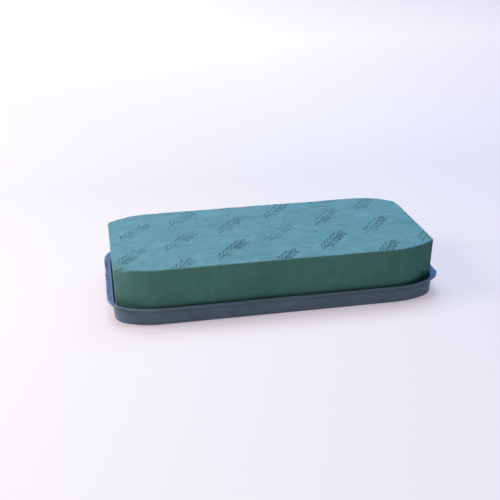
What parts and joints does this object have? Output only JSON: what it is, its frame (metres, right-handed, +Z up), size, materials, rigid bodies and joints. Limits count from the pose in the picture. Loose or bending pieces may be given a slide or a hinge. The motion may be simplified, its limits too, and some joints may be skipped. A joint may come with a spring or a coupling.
{
  "type": "floral foam tray set",
  "caption": "Oblong block of dry floral foam with curved corners, seated in a shallow moulded plastic tray with a rolled rim and an ear at each end.",
  "frame": {"origin": "middle of the tray's base, on the surface that the set stands on", "axes": "+X along the length, +Y across the width, +Z up, the way the foam lifts out"},
  "size_m": [0.282, 0.1352, 0.0489],
  "materials": {
    "tray_plastic": "satin moulded polypropylene, slate blue",
    "dry_foam": "dead matt, crumbly open-cell foam, blue green"
  },
  "bodies": {
    "tray": {"tray": "tray_plastic"},
    "foam": {"foam_block": "dry_foam"}
  },
  "joints": [
    {"name": "foam_lift", "type": "slide", "parent": "tray", "child": "foam", "axis": [0, 0, 1], "range_m": [0, 0.06]}
  ]
}
